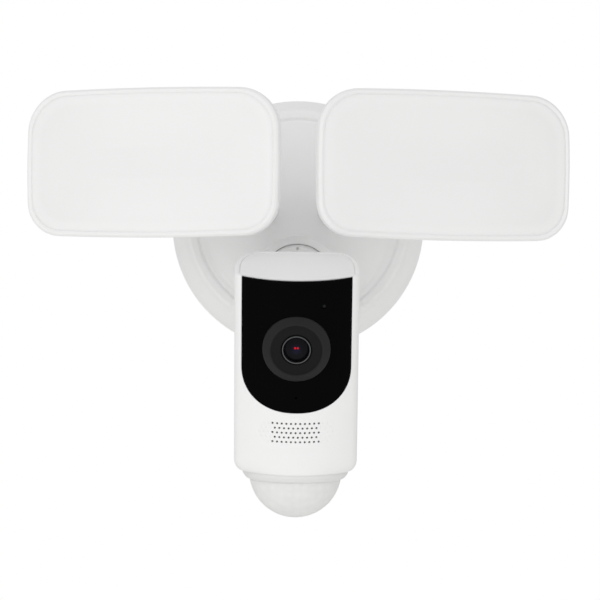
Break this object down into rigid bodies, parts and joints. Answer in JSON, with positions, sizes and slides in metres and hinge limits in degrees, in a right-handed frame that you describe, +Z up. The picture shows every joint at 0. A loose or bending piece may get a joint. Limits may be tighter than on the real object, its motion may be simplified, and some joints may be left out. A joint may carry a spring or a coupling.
{
  "type": "floodlight security camera",
  "caption": "Wall-mounted floodlight camera: round canopy, swivelling lamp heads on ball joints and a camera with a motion-sensor dome on a ball joint below them.",
  "frame": {"origin": "middle of the wall bracket's rear flat face, on the wall", "axes": "+X to the right seen from in front, +Y into the wall, +Z up; everything stands in front of the wall at negative Y"},
  "size_m": [0.2996, 0.1698, 0.247],
  "materials": {
    "white_abs": "injection-moulded UV-stable ABS, fine satin texture",
    "opal_diffuser": "opal polycarbonate, satin",
    "black_panel": "black tinted acrylic, polished",
    "black_abs": "black ABS, satin",
    "silver_trim": "turned and anodised",
    "lens_glass": "coated optical glass, polished",
    "dome_lens": "moulded polyethylene with fine facets inside",
    "rubber": "EPDM foam and silicone, matt",
    "white_rubber": "silicone, matt",
    "acetal": "natural acetal, slightly waxy",
    "steel": "stainless, as machined",
    "zinc_plate": "zinc-plated pressed steel",
    "circuit_board": "glass epoxy with green solder mask",
    "led_board": "aluminium-core board with white solder mask",
    "reflector": "white high-reflectance polycarbonate",
    "transformer_tape": "yellow polyester tape over ferrite",
    "capacitor_sleeve": "dark PVC sleeve",
    "terminal_green": "green polyamide",
    "light_pipe": "clear acrylic"
  },
  "bodies": {
    "wall_base": {"wall_bracket": "zinc_plate", "wall_gasket": "rubber", "canopy_ring": "white_abs", "canopy_screw_left": "steel", "canopy_screw_right": "steel", "hub_shell": "white_abs", "driver_tray": "black_abs", "driver_board": "circuit_board", "transformer": "transformer_tape", "bulk_capacitor": "capacitor_sleeve", "terminal_block": "terminal_green", "camera_socket": "white_abs", "camera_lock_ring": "white_abs", "lamp_left_arm": "white_abs", "lamp_right_arm": "white_abs", "lamp_left_lock_ring": "white_abs", "lamp_right_lock_ring": "white_abs"},
    "lamp_left_socket_liner": {"lamp_left_friction_liner": "acetal"},
    "lamp_left_head": {"lamp_left_ball_stem": "white_abs", "lamp_left_housing": "white_abs", "lamp_left_gasket": "rubber", "lamp_left_diffuser": "opal_diffuser", "lamp_left_reflector": "reflector", "lamp_left_led_board": "led_board"},
    "lamp_right_socket_liner": {"lamp_right_friction_liner": "acetal"},
    "lamp_right_head": {"lamp_right_ball_stem": "white_abs", "lamp_right_housing": "white_abs", "lamp_right_gasket": "rubber", "lamp_right_diffuser": "opal_diffuser", "lamp_right_reflector": "reflector", "lamp_right_led_board": "led_board"},
    "camera_socket_liner": {"camera_friction_liner": "acetal"},
    "camera_head": {"camera_ball_stem": "white_abs", "camera_front_shell": "white_abs", "camera_rear_shell": "white_abs", "camera_top_cap": "white_abs", "camera_case_seal": "rubber", "front_panel": "black_panel", "lens_bezel": "black_abs", "lens_barrel": "black_abs", "lens_trim_ring": "silver_trim", "front_lens": "lens_glass", "inner_lens": "lens_glass", "image_sensor_board": "circuit_board", "main_board": "circuit_board", "status_light_pipe": "light_pipe", "microphone_seal": "rubber", "speaker": "black_abs", "service_cover": "white_rubber", "card_slot": "steel", "service_screw_left": "steel", "service_screw_right": "steel", "case_screw_left": "steel", "case_screw_right": "steel", "motion_sensor_collar": "white_abs", "motion_sensor_lens": "dome_lens", "motion_sensor_element": "steel", "motion_sensor_board": "circuit_board"},
    "reset_key": {"reset_button": "white_rubber"}
  },
  "joints": [
    {"name": "lamp_left_tilt", "type": "hinge", "parent": "wall_base", "child": "lamp_left_socket_liner", "pos_m": [-0.045, -0.0844, 0.0202], "axis": [1, 0, 0], "range_deg": [-30, 5]},
    {"name": "lamp_left_pan", "type": "hinge", "parent": "lamp_left_socket_liner", "child": "lamp_left_head", "pos_m": [-0.045, -0.0844, 0.0202], "axis": [0, -0.1115, 0.9938], "range_deg": [-30, 5]},
    {"name": "lamp_right_tilt", "type": "hinge", "parent": "wall_base", "child": "lamp_right_socket_liner", "pos_m": [0.045, -0.0844, 0.0202], "axis": [1, 0, 0], "range_deg": [-30, 5]},
    {"name": "lamp_right_pan", "type": "hinge", "parent": "lamp_right_socket_liner", "child": "lamp_right_head", "pos_m": [0.045, -0.0844, 0.0202], "axis": [0, -0.1115, 0.9938], "range_deg": [-5, 30]},
    {"name": "camera_pan", "type": "hinge", "parent": "wall_base", "child": "camera_socket_liner", "pos_m": [0, -0.07403, -0.04007], "axis": [0, 0, 1], "range_deg": [-25, 25]},
    {"name": "camera_tilt", "type": "hinge", "parent": "camera_socket_liner", "child": "camera_head", "pos_m": [0, -0.07403, -0.04007], "axis": [1, 0, 0], "range_deg": [-8, 30]},
    {"name": "reset_button_press", "type": "slide", "parent": "camera_head", "child": "reset_key", "axis": [0, -0.9171, -0.3987], "range_m": [0, 0.0008], "stiffness_N_per_m": 500, "springref_m": -0.0006}
  ]
}
